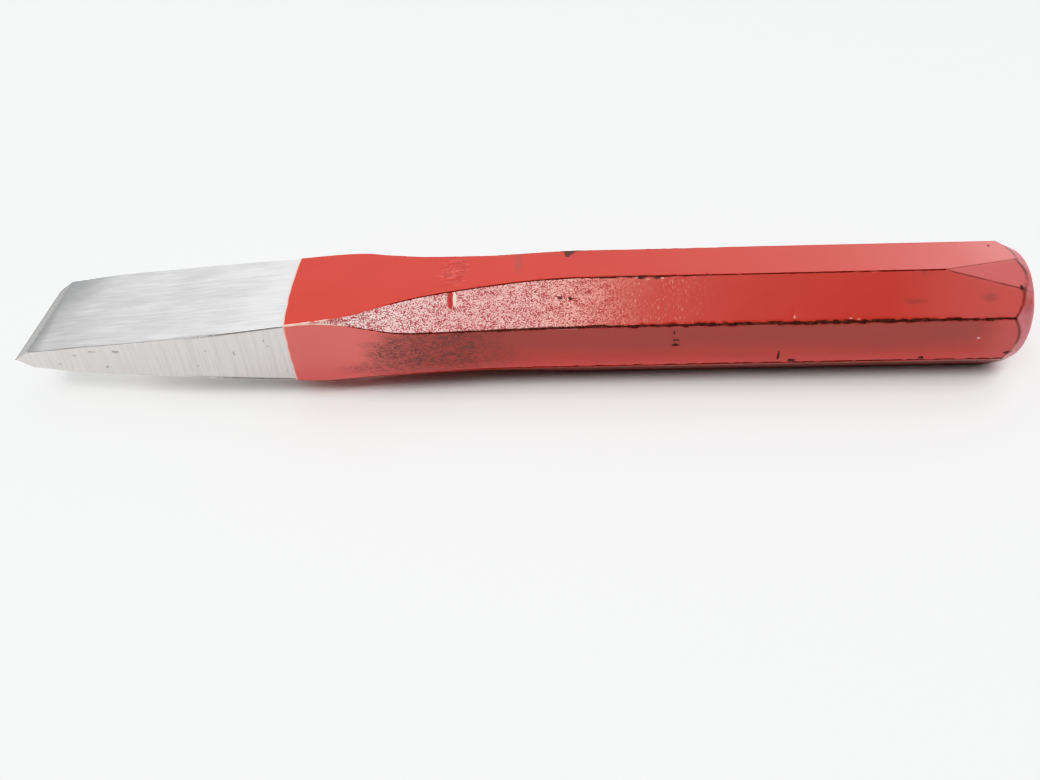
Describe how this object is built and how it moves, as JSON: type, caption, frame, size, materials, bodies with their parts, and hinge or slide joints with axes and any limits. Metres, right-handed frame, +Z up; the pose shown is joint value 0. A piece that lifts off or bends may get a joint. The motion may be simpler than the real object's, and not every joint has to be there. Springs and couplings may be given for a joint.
{
  "type": "flat cold chisel",
  "caption": "Flat cold chisel: forged octagonal steel shank drawn out to a ground wedge blade, with a lacquered shank and struck head.",
  "frame": {"origin": "under the middle of the chisel's length, on the surface that its shank lies on", "axes": "+X from the cutting edge to the struck head, +Y across the blade, +Z up, square to the broad faces of the blade"},
  "size_m": [0.153, 0.0198, 0.018],
  "materials": {
    "forged_steel": "ground bright along the length of the blade, across it on the sides",
    "red_lacquer": "glossy dipped lacquer, slightly crinkled, worn through on the arrises"
  },
  "bodies": {
    "root": {"forged_body": "forged_steel", "lacquer_coat": "red_lacquer"}
  },
  "joints": []
}
